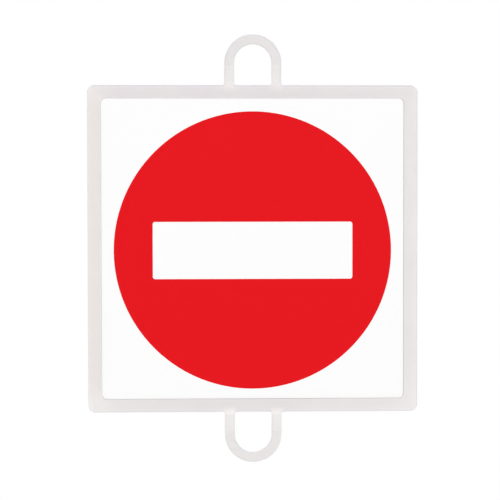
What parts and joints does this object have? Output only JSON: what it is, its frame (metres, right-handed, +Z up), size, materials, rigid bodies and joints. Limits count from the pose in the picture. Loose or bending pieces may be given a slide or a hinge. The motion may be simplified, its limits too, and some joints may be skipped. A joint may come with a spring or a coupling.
{
  "type": "no entry sign",
  "caption": "Square moulded plastic sign with a red disc and white bar, and a U-shaped hoop at top and bottom to hang it on a barrier chain.",
  "frame": {"origin": "inside the crown of the top hoop, half way through its thickness, where a chain link carries the sign", "axes": "+Z up as the sign hangs, -Y out of the printed front, +X to the right of someone who faces the front"},
  "size_m": [0.3, 0.005, 0.3892],
  "materials": {
    "natural_plastic": "natural milky polypropylene as moulded, satin, slightly translucent",
    "white_film": "plain white film, satin",
    "red_ink": "flat signal red print, satin"
  },
  "bodies": {
    "root": {"moulded_frame": "natural_plastic", "white_face_sheet": "white_film", "red_print": "red_ink"}
  },
  "joints": []
}
